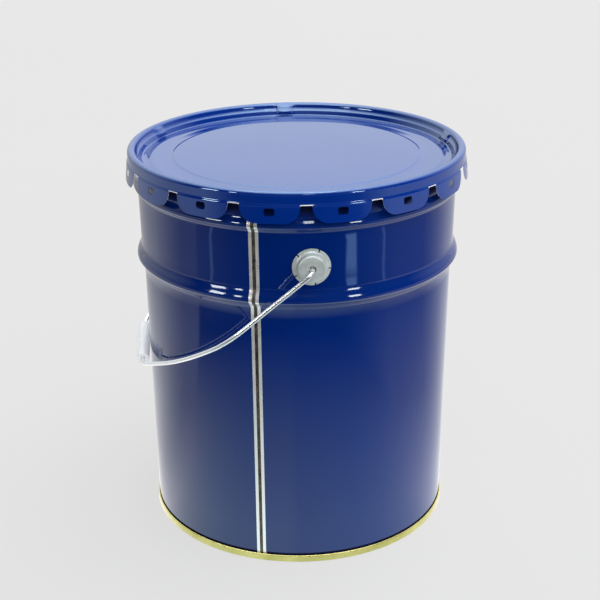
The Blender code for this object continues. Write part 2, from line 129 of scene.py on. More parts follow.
# ---- material building
class Tree:
    """A short way to write a node tree."""

    def __init__(self, tree):
        self.tree = tree
        tree.nodes.clear()

    def node(self, kind, inputs=None, **settings):
        item = self.tree.nodes.new(kind)
        for key, value in settings.items():
            setattr(item, key, value)
        for key, value in (inputs or {}).items():
            if isinstance(value, bpy.types.NodeSocket):
                self.tree.links.new(value, item.inputs[key])
            else:
                item.inputs[key].default_value = value
        return item

    def noise(self, vector, scale, detail=3.0, roughness=0.55):
        item = self.node("ShaderNodeTexNoise", {"Scale": scale, "Detail": detail, "Roughness": roughness})
        self.tree.links.new(vector, item.inputs["Vector"])
        return item.outputs["Fac"]

    def remap(self, value, low, high, to_low, to_high):
        item = self.node("ShaderNodeMapRange", {"Value": value, "From Min": low, "From Max": high,
                                                "To Min": to_low, "To Max": to_high})
        return item.outputs["Result"]

    def mix(self, factor, first, second, blend="MIX"):
        item = self.node("ShaderNodeMix", data_type="RGBA", blend_type=blend)
        for socket, value in ((item.inputs[0], factor), (item.inputs[6], first), (item.inputs[7], second)):
            if isinstance(value, bpy.types.NodeSocket):
                self.tree.links.new(value, socket)
            else:
                socket.default_value = value
        return item.outputs[2]

    def math(self, operation, first, second=0.0, third=0.0):
        item = self.node("ShaderNodeMath", operation=operation)
        for socket, value in zip(item.inputs, (first, second, third)):
            if isinstance(value, bpy.types.NodeSocket):
                self.tree.links.new(value, socket)
            else:
                socket.default_value = value
        return item.outputs[0]

    def bump(self, height, strength, distance, normal=None):
        inputs = {"Height": height, "Strength": strength, "Distance": distance}
        if normal is not None:
            inputs["Normal"] = normal
        return self.node("ShaderNodeBump", inputs).outputs["Normal"]

    def stretched(self, vector, scale):
        return self.node("ShaderNodeMapping", {"Vector": vector, "Scale": scale}).outputs["Vector"]


def new_material(name, colour):
    material = bpy.data.materials.new(name)
    material.use_nodes = True
    material.diffuse_color = (*colour, 1.0)
    tree = Tree(material.node_tree)
    where = tree.node("ShaderNodeTexCoord").outputs["Object"]
    shader = tree.node("ShaderNodeBsdfPrincipled")
    out = tree.node("ShaderNodeOutputMaterial")
    tree.tree.links.new(shader.outputs["BSDF"], out.inputs["Surface"])
    return material, tree, where, shader


def link(tree, socket, shader, name):
    tree.tree.links.new(socket, shader.inputs[name])


def enamel(name, deep, light, ior, tint, painted_shade_heights=None):
    """Stoved gloss enamel on tinplate: faint orange peel, slow sheet waviness, wiping smears and fine scuffs.

    Below and above two heights, if they are given, shade is painted into the sheet, darker, rougher and less
    glossy: in the crease just above the bottom seam and under the lid's lugs."""
    material, tree, where, shader = new_material(name, deep)
    tone = tree.noise(where, 9.0, 4.0)
    colour = tree.mix(tree.remap(tone, 0.3, 0.7, 0.0, 1.0), (*deep, 1.0), (*light, 1.0))
    dust = tree.noise(where, 420.0, 2.0, 0.7)
    colour = tree.mix(tree.remap(dust, 0.70, 0.80, 0.0, 0.08), colour, (0.20, 0.24, 0.33, 1.0))
    smear = tree.noise(tree.stretched(where, (3.0, 3.0, 14.0)), 5.0, 5.0, 0.6)
    scuff = tree.noise(tree.stretched(where, (40.0, 40.0, 900.0)), 1.0, 3.0, 0.7)
    rough = tree.remap(smear, 0.35, 0.75, 0.045, 0.10)
    rough = tree.math("ADD", rough, tree.remap(scuff, 0.66, 0.80, 0.0, 0.10))
    # Painted shade: below the lower height and above the upper one the colour turns near black, rougher and
    # less glossy, for the shade in the crease above the bottom seam and under the lid's lugs.
    if painted_shade_heights is not None:
        height = tree.node("ShaderNodeSeparateXYZ", {"Vector": where}).outputs["Z"]
        low, high = painted_shade_heights
        painted_shade = tree.math("MAXIMUM", tree.remap(height, low, low + 0.0006, 0.8, 0.0),
                          tree.remap(height, high, high + 0.006, 0.0, 0.8))
        colour = tree.mix(painted_shade, colour, (0.004, 0.004, 0.012, 1.0))
        rough = tree.math("ADD", rough, tree.math("MULTIPLY", painted_shade, 0.25))
        link(tree, tree.remap(painted_shade, 0.0, 0.8, 0.5, 0.06), shader, "Specular IOR Level")
    link(tree, colour, shader, "Base Color")
    link(tree, rough, shader, "Roughness")
    shader.inputs["IOR"].default_value = ior
    shader.inputs["Specular Tint"].default_value = (*tint, 1.0)
    wave = tree.noise(tree.stretched(where, (1.0, 1.0, 0.6)), 16.0, 1.0, 0.4)
    peel = tree.noise(where, 900.0, 2.0, 0.5)
    normal = tree.bump(wave, 0.10, 0.0012)
    normal = tree.bump(peel, 0.05, 0.00006, normal)
    link(tree, normal, shader, "Normal")
    return material


def tinplate(name, colour, dark, roughness, metallic=0.95):
    """Bare tinplate with rolling streaks and a few dull patches."""
    material, tree, where, shader = new_material(name, colour)
    streak = tree.noise(tree.stretched(where, (600.0, 600.0, 12.0)), 1.0, 3.0, 0.6)
    patch = tree.noise(where, 55.0, 4.0, 0.6)
    tone = tree.math("MULTIPLY", streak, patch)
    clean = tree.remap(tone, 0.15, 0.40, 0.0, 1.0)
    link(tree, tree.mix(clean, (*dark, 1.0), (*colour, 1.0)), shader, "Base Color")
    shader.inputs["Metallic"].default_value = metallic
    link(tree, tree.remap(patch, 0.3, 0.7, roughness * 0.7, roughness * 1.5), shader, "Roughness")
    link(tree, tree.bump(streak, 0.15, 0.00005), shader, "Normal")
    return material


def weld_line():
    """The resistance weld: a dark, heat-blued line with fine nugget ripples along the seam."""
    material, tree, where, shader = new_material("weld_line", (0.06, 0.055, 0.05))
    waves = {"Scale": 260.0, "Distortion": 1.5, "Detail": 2.0, "Vector": where}
    ripple = tree.node("ShaderNodeTexWave", waves, bands_direction="Z").outputs["Fac"]
    soot = tree.noise(where, 180.0, 4.0, 0.7)
    sooty = tree.remap(soot, 0.35, 0.7, 0.0, 1.0)
    colour = tree.mix(sooty, (0.035, 0.032, 0.030, 1.0), (0.16, 0.14, 0.11, 1.0))
    link(tree, colour, shader, "Base Color")
    shader.inputs["Metallic"].default_value = 0.7
    link(tree, tree.remap(soot, 0.3, 0.7, 0.3, 0.55), shader, "Roughness")
    link(tree, tree.bump(ripple, 0.35, 0.0001), shader, "Normal")
    return material


def gold_lacquer():
    """Gold-lacquered tinplate: warm clear coat over bright tin, scuffed along the seam's foot."""
    material, tree, where, shader = new_material("gold_lacquer", (0.50, 0.42, 0.12))
    tone = tree.noise(where, 60.0, 4.0, 0.6)
    warm = tree.remap(tone, 0.3, 0.7, 0.0, 1.0)
    colour = tree.mix(warm, (0.46, 0.40, 0.10, 1.0), (0.66, 0.58, 0.20, 1.0))
    rub = tree.noise(tree.stretched(where, (90.0, 90.0, 1400.0)), 1.0, 4.0, 0.7)
    colour = tree.mix(tree.remap(rub, 0.62, 0.78, 0.0, 0.55), colour, (0.60, 0.58, 0.50, 1.0))
    link(tree, colour, shader, "Base Color")
    shader.inputs["Metallic"].default_value = 0.75
    link(tree, tree.remap(tone, 0.3, 0.7, 0.22, 0.38), shader, "Roughness")
    shader.inputs["Coat Weight"].default_value = 0.5
    shader.inputs["Coat Roughness"].default_value = 0.12
    link(tree, tree.bump(rub, 0.12, 0.00006), shader, "Normal")
    return material


def zinc_plate():
    """Zinc-plated pressing: soft grey-green sheen, cloudy crystals and small dark specks."""
    material, tree, where, shader = new_material("zinc_plate", (0.38, 0.42, 0.41))
    cloud = tree.noise(where, 130.0, 4.0, 0.6)
    grain = tree.node("ShaderNodeTexVoronoi", {"Scale": 700.0, "Vector": where}).outputs["Distance"]
    pale = tree.remap(cloud, 0.3, 0.7, 0.0, 1.0)
    colour = tree.mix(pale, (0.43, 0.49, 0.475, 1.0), (0.60, 0.655, 0.64, 1.0))
    speck = tree.noise(where, 900.0, 3.0, 0.7)
    colour = tree.mix(tree.remap(speck, 0.66, 0.76, 0.0, 0.5), colour, (0.26, 0.29, 0.29, 1.0))
    link(tree, colour, shader, "Base Color")
    shader.inputs["Metallic"].default_value = 0.30
    link(tree, tree.remap(cloud, 0.3, 0.7, 0.30, 0.46), shader, "Roughness")
    normal = tree.bump(grain, 0.10, 0.00010)
    link(tree, tree.bump(cloud, 0.25, 0.00025, normal), shader, "Normal")
    return material


def galvanised_wire():
    """Drawn galvanised wire: bright, with draw lines along it and small dull flecks."""
    material, tree, where, shader = new_material("galvanised_wire", (0.72, 0.74, 0.75))
    uv = tree.node("ShaderNodeTexCoord").outputs["UV"]
    lines = tree.noise(tree.stretched(uv, (26.0, 1.5, 1.0)), 1.0, 4.0, 0.6)
    fleck = tree.noise(where, 260.0, 4.0, 0.65)
    dull = tree.remap(fleck, 0.35, 0.7, 0.0, 1.0)
    colour = tree.mix(dull, (0.91, 0.92, 0.93, 1.0), (0.80, 0.82, 0.83, 1.0))
    link(tree, colour, shader, "Base Color")
    shader.inputs["Metallic"].default_value = 0.82
    link(tree, tree.remap(fleck, 0.3, 0.7, 0.15, 0.22), shader, "Roughness")
    link(tree, tree.bump(lines, 0.12, 0.00005), shader, "Normal")
    return material


def polyethylene():
    """Milky natural polyethylene with slight sink marks and a faint painted glow from emission."""
    material, tree, where, shader = new_material("grip_polyethylene", (0.88, 0.89, 0.88))
    cloud = tree.noise(where, 120.0, 3.0, 0.5)
    milky = tree.remap(cloud, 0.3, 0.7, 0.0, 1.0)
    colour = tree.mix(milky, (0.93, 0.94, 0.95, 1.0), (0.97, 0.975, 0.98, 1.0))
    link(tree, colour, shader, "Base Color")
    link(tree, tree.remap(cloud, 0.3, 0.7, 0.32, 0.46), shader, "Roughness")
    shader.inputs["IOR"].default_value = 1.5
    shader.inputs["Transmission Weight"].default_value = 0.25
    shader.inputs["Subsurface Weight"].default_value = 0.3
    shader.inputs["Subsurface Radius"].default_value = (0.004, 0.004, 0.004)
    # Painted glow: a faint emission brightens the grip, which is no lamp.
    shader.inputs["Emission Color"].default_value = (0.95, 0.97, 1.0, 1.0)
    shader.inputs["Emission Strength"].default_value = 0.12
    link(tree, tree.bump(cloud, 0.2, 0.0003), shader, "Normal")
    return material


def rubber(name, colour, light):
    """Matt sealing ring with flow marks."""
    material, tree, where, shader = new_material(name, colour)
    flow = tree.noise(where, 300.0, 4.0, 0.6)
    link(tree, tree.mix(flow, (*colour, 1.0), (*light, 1.0)), shader, "Base Color")
    link(tree, tree.remap(flow, 0.3, 0.7, 0.6, 0.85), shader, "Roughness")
    link(tree, tree.bump(flow, 0.4, 0.0002), shader, "Normal")
    return material


# ---- profiles
def arc(radius_at, height_at, radius, start, end, steps):
    """Points of an arc in the (radius, height) plane, angles in degrees from the outward direction."""
    points = []
    for i in range(steps + 1):
        angle = math.radians(start + (end - start) * i / steps)
        points.append((radius_at + radius * math.cos(angle), height_at + radius * math.sin(angle)))
    return points


def swell(z0, r0, z1, r1, steps, slope=0.0):
    """A soft S between two heights, ends left out; a slope of 1 would make it straight."""
    points = []
    for i in range(1, steps):
        t = i / steps
        blend = slope * t + (1.0 - slope) * (0.5 - 0.5 * math.cos(math.pi * t))
        points.append((r0 + (r1 - r0) * blend, z0 + (z1 - z0) * t))
    return points


def straight(start, end, steps):
    """Evenly spaced points between two ends, ends left out."""
    (r0, z0), (r1, z1) = start, end
    return [(r0 + (r1 - r0) * i / steps, z0 + (z1 - z0) * i / steps) for i in range(1, steps)]


def rounded(points, radius, steps=4):
    """The polyline with each inner corner replaced by a short curve."""
    done = [points[0]]
    for before, corner, after in zip(points, points[1:], points[2:]):
        b, c, a = Vector(before), Vector(corner), Vector(after)
        reach = min(radius, (b - c).length * 0.45, (a - c).length * 0.45)
        start = c + (b - c).normalized() * reach
        end = c + (a - c).normalized() * reach
        for i in range(steps + 1):
            t = i / steps
            done.append(tuple(start.lerp(c, t).lerp(c.lerp(end, t), t)))
    return done + [points[-1]]


def offset_line(points, distance):
    """The polyline moved to its left by a distance, with mitred corners."""
    moved = []
    for i, point in enumerate(points):
        here = Vector(point)
        before = (here - Vector(points[i - 1])).normalized() if i else None
        after = (Vector(points[i + 1]) - here).normalized() if i + 1 < len(points) else None
        before = before or after
        after = after or before
        left_before = Vector((-before.y, before.x))
        left_after = Vector((-after.y, after.x))
        mitre = (left_before + left_after).normalized()
        moved.append(here + mitre * (distance / mitre.dot(left_after)))
    return [tuple(p) for p in moved]


# ---- mesh building
def finish_object(name, mesh, materials, angle=SHARP_ANGLE):
    item = bpy.data.objects.new(name, mesh)
    bpy.context.scene.collection.objects.link(item)
    for material in materials:
        mesh.materials.append(material)
    mesh.shade_smooth()
    mesh.set_sharp_from_angle(angle=math.radians(angle))
    return item


def even_azimuths(count, extra=()):
    """Evenly spaced azimuths in degrees; each extra one takes a close neighbour's place or is added."""
    azimuths = [360.0 * i / count for i in range(count)]
    for angle in extra:
        angle %= 360.0
        nearest = min(range(len(azimuths)), key=lambda i: abs(azimuths[i] - angle))
        if abs(azimuths[nearest] - angle) < 0.35 * 360.0 / count:
            azimuths[nearest] = angle
        else:
            azimuths.append(angle)
            azimuths.sort()
    return azimuths


def revolve(outline, azimuths, slot_of=None, radial=None):
    """Mesh of a closed outline of (radius, height) turned round Z; points on the axis become one vertex.

    slot_of(outline index, azimuth) gives a face's material.
    radial(azimuth, radius, height) gives a moved radius."""
    shape = bmesh.new()
    rings = []
    for r, z in outline:
        if r < 1e-6:
            rings.append([shape.verts.new((0.0, 0.0, z * MM))])
            continue
        ring = []
        for azimuth in azimuths:
            angle = math.radians(azimuth)
            here = radial(azimuth, r, z) if radial else r
            x, y = here * math.sin(angle), -here * math.cos(angle)
            ring.append(shape.verts.new((x * MM, y * MM, z * MM)))
        rings.append(ring)
    count = len(azimuths)
    for i, ring in enumerate(rings):
        following = rings[(i + 1) % len(rings)]
        if len(ring) == 1 and len(following) == 1:
            continue
        for j in range(count):
            k = (j + 1) % count
            if len(ring) == 1:
                corners = (ring[0], following[j], following[k])
            elif len(following) == 1:
                corners = (ring[j], following[0], ring[k])
            else:
                corners = (ring[j], following[j], following[k], ring[k])
            face = shape.faces.new(corners)
            if slot_of:
                end = azimuths[k] if k else 360.0
                face.material_index = slot_of(i, (azimuths[j] + end) / 2)
    bmesh.ops.recalc_face_normals(shape, faces=shape.faces)
    mesh = bpy.data.meshes.new("turned")
    shape.to_mesh(mesh)
    shape.free()
    return mesh


def angle_between(a, b):
    """Signed difference of two azimuths, in degrees."""
    return (a - b + 180.0) % 360.0 - 180.0


def baked(item):
    """The object with its modifiers applied."""
    graph = bpy.context.evaluated_depsgraph_get()
    mesh = bpy.data.meshes.new_from_object(item.evaluated_get(graph), depsgraph=graph)
    item.modifiers.clear()
    item.data = mesh
    return item


# ---- the pieces
def body_line():
    """Middle line of the wall's sheet, from the hook in the bottom seam up to the rolled mouth."""
    half = SHEET / 2
    wall = SEAM_RADIUS - half - 3 * SEAM_PITCH
    hook = SEAM_RADIUS - half - SEAM_PITCH
    line = [(hook, HOOK_TIP)]
    line += arc((hook + wall) / 2, HOOK_TURN, (hook - wall) / 2, 0, -180, 8)
    foot = [(wall, CHUCK_FOOT), (wall, CHUCK_TOP)]
    foot += [(lower_wall(height) - half, height) for height in (WALL_FOOT, WALL_START)]
    line += rounded(foot, 0.8)
    line += straight(line[-1], (lower_wall(NEST_FOOT) - half, NEST_FOOT), 24)
    line += [(lower_wall(NEST_FOOT) - half, NEST_FOOT)]
    line += swell(NEST_FOOT, lower_wall(NEST_FOOT) - half, NEST_CREST, NEST_RADIUS - half, 12, 0.7)
    line += [(NEST_RADIUS - half, NEST_CREST)]
    line += swell(NEST_CREST, NEST_RADIUS - half, NEST_TOP, upper_wall(NEST_TOP) - half, 14)
    line += [(upper_wall(NEST_TOP) - half, NEST_TOP)]
    line += straight(line[-1], (upper_wall(BEAD_FOOT) - half, BEAD_FOOT), 6)
    line += [(upper_wall(BEAD_FOOT) - half, BEAD_FOOT)]
    line += swell(BEAD_FOOT, upper_wall(BEAD_FOOT) - half, BEAD_CREST, BEAD_RADIUS - half, 10)
    line += [(BEAD_RADIUS - half, BEAD_CREST)]
    line += swell(BEAD_CREST, BEAD_RADIUS - half, BEAD_TOP, NECK_RADIUS - half, 10)
    line += [(NECK_RADIUS - half, BEAD_TOP)]
    line += arc(NECK_RADIUS - half + CURL_RADIUS, CURL_HEIGHT, CURL_RADIUS, 180, -120, 20)
    return line


def build_body(paint, tin, weld, inside_face):
    line = body_line()
    outer = offset_line(line, -SHEET / 2)
    inner = offset_line(line, SHEET / 2)
    outline = outer + inner[::-1]
    count = len(outer)
    edges = [WELD_AZIMUTH + side * half for side in (-1, 1) for half in (WELD_HALF, MARGIN_HALF)]
    azimuths = even_azimuths(WALL_TURNS, edges)

    def slot_of(i, azimuth):
        away = abs(angle_between(azimuth, WELD_AZIMUTH))
        if away < WELD_HALF:
            return 2
        if i >= count:
            return 3
        return 1 if away < MARGIN_HALF else 0

    def radial(azimuth, r, z):
        away = abs(angle_between(azimuth, WELD_AZIMUTH))
        return r + (0.10 if away < WELD_HALF + 0.01 and r > 130.0 else 0.0)

    mesh = revolve(outline, azimuths, slot_of, radial)
    return finish_object("body_wall", mesh, [paint, tin, weld, inside_face])


def bottom_line():
    """Middle line of the bottom's sheet, from its centre out to the cover hook inside the seam."""
    half = SHEET / 2
    outer = SEAM_RADIUS - half
    chuck = outer - 4 * SEAM_PITCH
    cover = outer - 2 * SEAM_PITCH
    foot = FOOT_ROUND
    raised = BOTTOM_PANEL_HEIGHT + BOTTOM_PANEL_RISE
    panel = [(BOTTOM_CENTRE, raised), (BOTTOM_PANEL_RADIUS, raised)]
    panel += [(BOTTOM_STEP_RADIUS, BOTTOM_PANEL_HEIGHT), (BOTTOM_FLAT_RADIUS, BOTTOM_PANEL_HEIGHT)]
    line = [(0.0, raised)] + rounded(panel, 2.0)
    line += arc(BOTTOM_BEAD_RADIUS, BOTTOM_PANEL_HEIGHT - BOTTOM_BEAD_DROP, BOTTOM_BEAD_ROUND, 160, 0, 10)
    line += [(chuck, foot + half)]
    line += arc(chuck + foot, foot + half, foot, 180, 270, 6)[1:]
    line += arc(outer - foot, foot + half, foot, -90, 0, 6)
    turn = (outer - cover) / 2
    line += arc(cover + turn, SEAM_HEIGHT - half - turn, turn, 0, 180, 10)
    line += [(cover, COVER_TIP)]
    return line


def build_bottom(gold):
    line = bottom_line()
    outline = offset_line(line, SHEET / 2) + offset_line(line, -SHEET / 2)[::-1]
    mesh = revolve(outline, even_azimuths(WALL_TURNS))
    return finish_object("bottom_disc", mesh, [gold])


def lid_line():
    """Middle line of the lid's sheet, from its centre over the rolled rim down to the lug tips."""
    half = SHEET / 2
    face = [(LID_CENTRE, PANEL_HEIGHT), (PANEL_RADIUS, PANEL_HEIGHT)]
    face += [(PANEL_RADIUS + STEP_WIDTH, PANEL_HEIGHT - STEP_DROP)]
    face += [(CHANNEL_RADIUS, CHANNEL_HEIGHT), (RIDGE_RADIUS, RIDGE_HEIGHT), (SEAT_INNER, SEAT_HEIGHT)]
    face += [(SEAT_OUTER + out, SEAT_HEIGHT + up) for out, up in ((0.0, 0.0), FILLET_LOW, FILLET_HIGH)]
    face += [(LEDGE_INNER, LEDGE_HEIGHT), (LEDGE_OUTER, LEDGE_HEIGHT + LEDGE_RISE)]
    line = [(0.0, PANEL_HEIGHT - half)] + rounded([(r, z - half) for r, z in face], 1.6, 4)
    line += arc(RIM_RADIUS, RIM_TOP - RIM_TUBE, RIM_TUBE - half, 175, 0, 22)
    above = (LUG_CREASE_RADIUS - half - 0.2, LUG_CREASE_HEIGHT + 1.2)
    below = (LUG_CREASE_RADIUS + 0.5, LUG_CREASE_HEIGHT - 0.4)
    tip = (LUG_TIP_RADIUS - half - 0.1, LUG_TIP_HEIGHT)
    shoulder = rounded([line[-1], above, below, tip], 0.7, 4)
    return line + shoulder[1:-1] + straight(shoulder[-2], tip, 6) + [tip]


def prism(shape, outline, azimuth):
    """Cutter with a flat outline, pushed outwards through the lug skirt at an azimuth; returns its faces."""
    angle = math.radians(azimuth)
    outward = Vector((math.sin(angle), -math.cos(angle), 0.0))
    sideways = Vector((math.cos(angle), math.sin(angle), 0.0))
    rings = []
    for distance in (CUT_FROM, CUT_TO):
        rings.append([shape.verts.new((outward * distance + sideways * x + Vector((0, 0, z))) * MM)
                      for x, z in outline])
    faces = [shape.faces.new(rings[0]), shape.faces.new(rings[1][::-1])]
    for i in range(len(outline)):
        j = (i + 1) % len(outline)
        faces.append(shape.faces.new((rings[0][j], rings[0][i], rings[1][i], rings[1][j])))
    return faces


def notch_outline():
    """The gap between two lugs: a flat top, short sides and a quarter circle down to each lug's tip."""
    half = NOTCH_WIDTH / 2
    start = LUG_TIP_HEIGHT + LUG_CORNER
    right = [(half - NOTCH_SHOULDER - 0.3, LUG_CREASE_HEIGHT)]
    right += [(half - NOTCH_SHOULDER, LUG_CREASE_HEIGHT - 0.3)]
    for i in range(13):
        angle = math.radians(90.0 * i / 12)
        right.append((half + LUG_CORNER * (1 - math.cos(angle)), start - LUG_CORNER * math.sin(angle)))
    right.append((half + LUG_CORNER, LUG_TIP_HEIGHT - CUT_BELOW))
    return right + [(-across, height) for across, height in right[::-1]]


def slot_outline():
    """The round-cornered slot in the middle of each lug."""
    points = []
    wide, high = SLOT_WIDTH / 2 - SLOT_ROUND, SLOT_HEIGHT / 2 - SLOT_ROUND
    for across, up, start in ((1, 1, 0), (-1, 1, 90), (-1, -1, 180), (1, -1, 270)):
        points += arc(across * wide, SLOT_CENTRE + up * high, SLOT_ROUND, start, start + 90.0, 5)
    return points


def nub_push(azimuth, r, z):
    """Shallow square dimples pressed inwards in the rim's inner wall, with crisp sides."""
    if not (NUB_WALL_INNER < r < NUB_WALL_OUTER and z > NUB_FOOT):
        return r
    for nub in NUB_AZIMUTHS:
        away = abs(angle_between(azimuth, nub)) / NUB_HALF
        if away < 1.0:
            side = min(1.0, (1.0 - away) * 5.0)
            top = min(1.0, max(0.0, (NUB_TOP - z) / NUB_TOP_FADE))
            foot = min(1.0, (z - NUB_FOOT) / NUB_FOOT_FADE)
            return r - NUB_DEPTH * side * top * top * (3 - 2 * top) * foot
    return r


NOTCH_REACH = math.degrees(NOTCH_WIDTH / 2 / LUG_CREASE_RADIUS)


def near_notch(azimuth):
    """True where an azimuth lies within the width of one of the notches."""
    return abs(angle_between(azimuth * LUG_COUNT, NOTCH_AZIMUTH * LUG_COUNT)) < NOTCH_REACH * LUG_COUNT


def build_lid(paint, edge_metal, inside_face):
    """The lid's pressing; the notches between its lugs show bare cut edges, the slots painted ones. A bright
    strip of cut-edge tin along each notch's crease is a painted highlight, and the dark grey underside is
    painted shade.
    """
    line = lid_line()
    upper = offset_line(line, SHEET / 2)
    under = offset_line(line, -SHEET / 2)
    outline = upper + under[::-1]
    count = len(upper)
    steps = [side * NUB_HALF * part for side in (-1, 1) for part in (0.8, 0.9, 1.0)]
    extra = [nub + step for nub in NUB_AZIMUTHS for step in steps]
    notches = [NOTCH_AZIMUTH + LUG_PITCH * i for i in range(LUG_COUNT)]
    extra += [notch + side * NOTCH_REACH for notch in notches for side in (-1, 1)]

    def slot_of(i, azimuth):
        if i >= count:
            return 2
        r, z = upper[i]
        # Painted highlight: a strip of bright cut-edge tin along the crease at the top of each notch, for the
        # crease catching the light.
        painted_glint = r > LUG_CREASE_RADIUS - 0.7 and LUG_CREASE_HEIGHT - 0.2 < z < LUG_CREASE_HEIGHT + 0.9
        return 1 if painted_glint and near_notch(azimuth) else 0

    mesh = revolve(outline, even_azimuths(LID_TURNS, extra), slot_of, nub_push)
    # The third material, on the underside, is dark grey painted shade.
    lid = finish_object("lid_sheet", mesh, [paint, edge_metal, inside_face])
    shape = bmesh.new()
    for notch in notches:
        prism(shape, notch_outline(), notch)
        for face in prism(shape, slot_outline(), notch + LUG_PITCH / 2):
            face.material_index = 1
    bmesh.ops.recalc_face_normals(shape, faces=shape.faces)
    tool_mesh = bpy.data.meshes.new("lug_tool")
    shape.to_mesh(tool_mesh)
    shape.free()
    tool = bpy.data.objects.new("lug_tool", tool_mesh)
    bpy.context.scene.collection.objects.link(tool)
    tool_mesh.materials.append(edge_metal)
    tool_mesh.materials.append(paint)
    cut = lid.modifiers.new("lugs", 'BOOLEAN')
    cut.operation = 'DIFFERENCE'
    cut.solver = 'EXACT'
    cut.material_mode = 'TRANSFER'
    cut.object = tool
    bpy.context.view_layer.update()
    baked(lid)
    bpy.data.objects.remove(tool, do_unlink=True)
    lid.data.set_sharp_from_angle(angle=math.radians(SHARP_ANGLE))
    return lid


def build_gasket(material):
    outline = rounded(arc(RIM_RADIUS, RIM_TOP - RIM_TUBE, RIM_TUBE - SHEET - GAP, 6, 174, 14), 0.3, 2)
    return finish_object("gasket_ring", revolve(outline, even_azimuths(GASKET_TURNS)), [material])


def ear_surface():
    """(radius, height over the wall) of the ear's outer face, from the hole to the flange."""
    top = GAP + EAR_DEPTH
    base = GAP + EAR_THICKNESS
    line = [(EAR_HOLE_RADIUS, top - 0.25), (EAR_HOLE_RADIUS + 0.25, top), (6.5, top), (9.0, top)]
    line += arc(10.2, top - 2.4, 2.4, 90, 12, 9)
    line += [(13.0, base + 3.2)]
    line += arc(14.1, base + 2.4, 1.0, 190, 250, 4)
    line += [(14.4, base + 0.7), (14.7, base + 0.35), (15.2, base + 0.15)]
    edge = ((0.5, 0.1), (0.1, -0.15), (0.0, -0.5))
    return line + [(EAR_FLANGE_RADIUS - inwards, base + up) for inwards, up in edge]


def build_ear(name, side, zinc):
    """A domed pressing whose flange follows the wall, with five lanced notches."""
    line = ear_surface()
    notches = [EAR_NOTCH_FIRST + 360.0 / EAR_NOTCHES * i for i in range(EAR_NOTCHES)]
    azimuths = even_azimuths(EAR_TURNS, [n + s * EAR_NOTCH_HALF for n in notches for s in (-1, 1)])
    shape = bmesh.new()
    rings = []
    for r, h in line:
        ring = []
        for azimuth in azimuths:
            angle = math.radians(azimuth)
            x, up = r * math.cos(angle), r * math.sin(angle)
            wall = upper_wall(HINGE_HEIGHT + up)
            drop = EAR_WALL - math.sqrt(wall * wall - x * x)
            share = 1.0 - min(1.0, max(0.0, (h - EAR_BEND_FROM) / EAR_BEND_OVER))
            lift = 0.0
            for notch in notches:
                away = abs(angle_between(azimuth, notch))
                if r > EAR_LIP_RADIUS and away < EAR_LIP_REACH:
                    raised = EAR_LIP_HEIGHT * (1.0 - away / EAR_LIP_REACH)
                    lift = raised * min(1.0, (r - EAR_LIP_RADIUS) / EAR_LIP_OVER)
            ring.append(shape.verts.new((x * MM, up * MM, (h - drop * share + lift) * MM)))
        rings.append(ring)
    for i in range(len(rings) - 1):
        for j in range(len(azimuths)):
            k = (j + 1) % len(azimuths)
            end = azimuths[k] if k else 360.0
            middle = (azimuths[j] + end) / 2
            in_notch = any(abs(angle_between(middle, n)) < EAR_NOTCH_HALF for n in notches)
            if line[i][0] < EAR_NOTCH_RADIUS or not in_notch:
                shape.faces.new((rings[i][j], rings[i + 1][j], rings[i + 1][k], rings[i][k]))
    loose = [v for v in shape.verts if not v.link_faces]
    bmesh.ops.delete(shape, geom=loose, context='VERTS')
    bmesh.ops.recalc_face_normals(shape, faces=shape.faces)
    up_faces = [f for f in shape.faces if f.normal.z > 0.5]
    if len(up_faces) < 10:
        bmesh.ops.reverse_faces(shape, faces=shape.faces)
    mesh = bpy.data.meshes.new(name)
    shape.to_mesh(mesh)
    shape.free()
    item = finish_object(name, mesh, [zinc], 40.0)
    solid = item.modifiers.new("sheet", 'SOLIDIFY')
    solid.thickness = EAR_THICKNESS * 0.9 * MM
    solid.offset = -1.0
    edge = item.modifiers.new("edge", 'BEVEL')
    edge.width = 0.12 * MM
    edge.segments = 2
    edge.limit_method = 'ANGLE'
    edge.angle_limit = math.radians(50.0)
    turn = Matrix.Rotation(math.pi if side > 0 else 0.0, 4, 'Z') @ Matrix.Rotation(math.pi / 2, 4, 'X')
    item.matrix_world = Matrix.Translation((0.0, side * EAR_WALL * MM, HINGE_HEIGHT * MM)) @ turn
    return item


def bail_half_path():
    """(distance from the middle, reach from the hinge) along half of the wire, from inside the ear."""
    end = EAR_WALL + EAR_DEPTH - EAR_THICKNESS - BAIL_END_GAP
    bend = BAIL_BEND
    points = [(end, 0.0)]
    for i in range(13):
        angle = math.radians(90.0 * i / 12)
        points.append((BAIL_SPREAD - bend + bend * math.sin(angle), bend - bend * math.cos(angle)))
    across, reach = BAIL_SPREAD, bend
    heading = BAIL_HEADING
    for kind, amount, turn in BAIL_RUNS:
        for _ in range(BAIL_STEPS):
            step = turn / BAIL_STEPS
            length = amount * math.radians(step) if kind == "arc" else amount / BAIL_STEPS
            middle = math.radians(heading + step / 2)
            across -= length * math.sin(middle)
            reach += length * math.cos(middle)
            heading += step
            points.append((across, reach))
    points += [(across * (1 - i / 6), reach) for i in range(1, 6)]
    correction = BAIL_REACH / reach
    return [(a, r * correction if r > bend else r) for a, r in points]


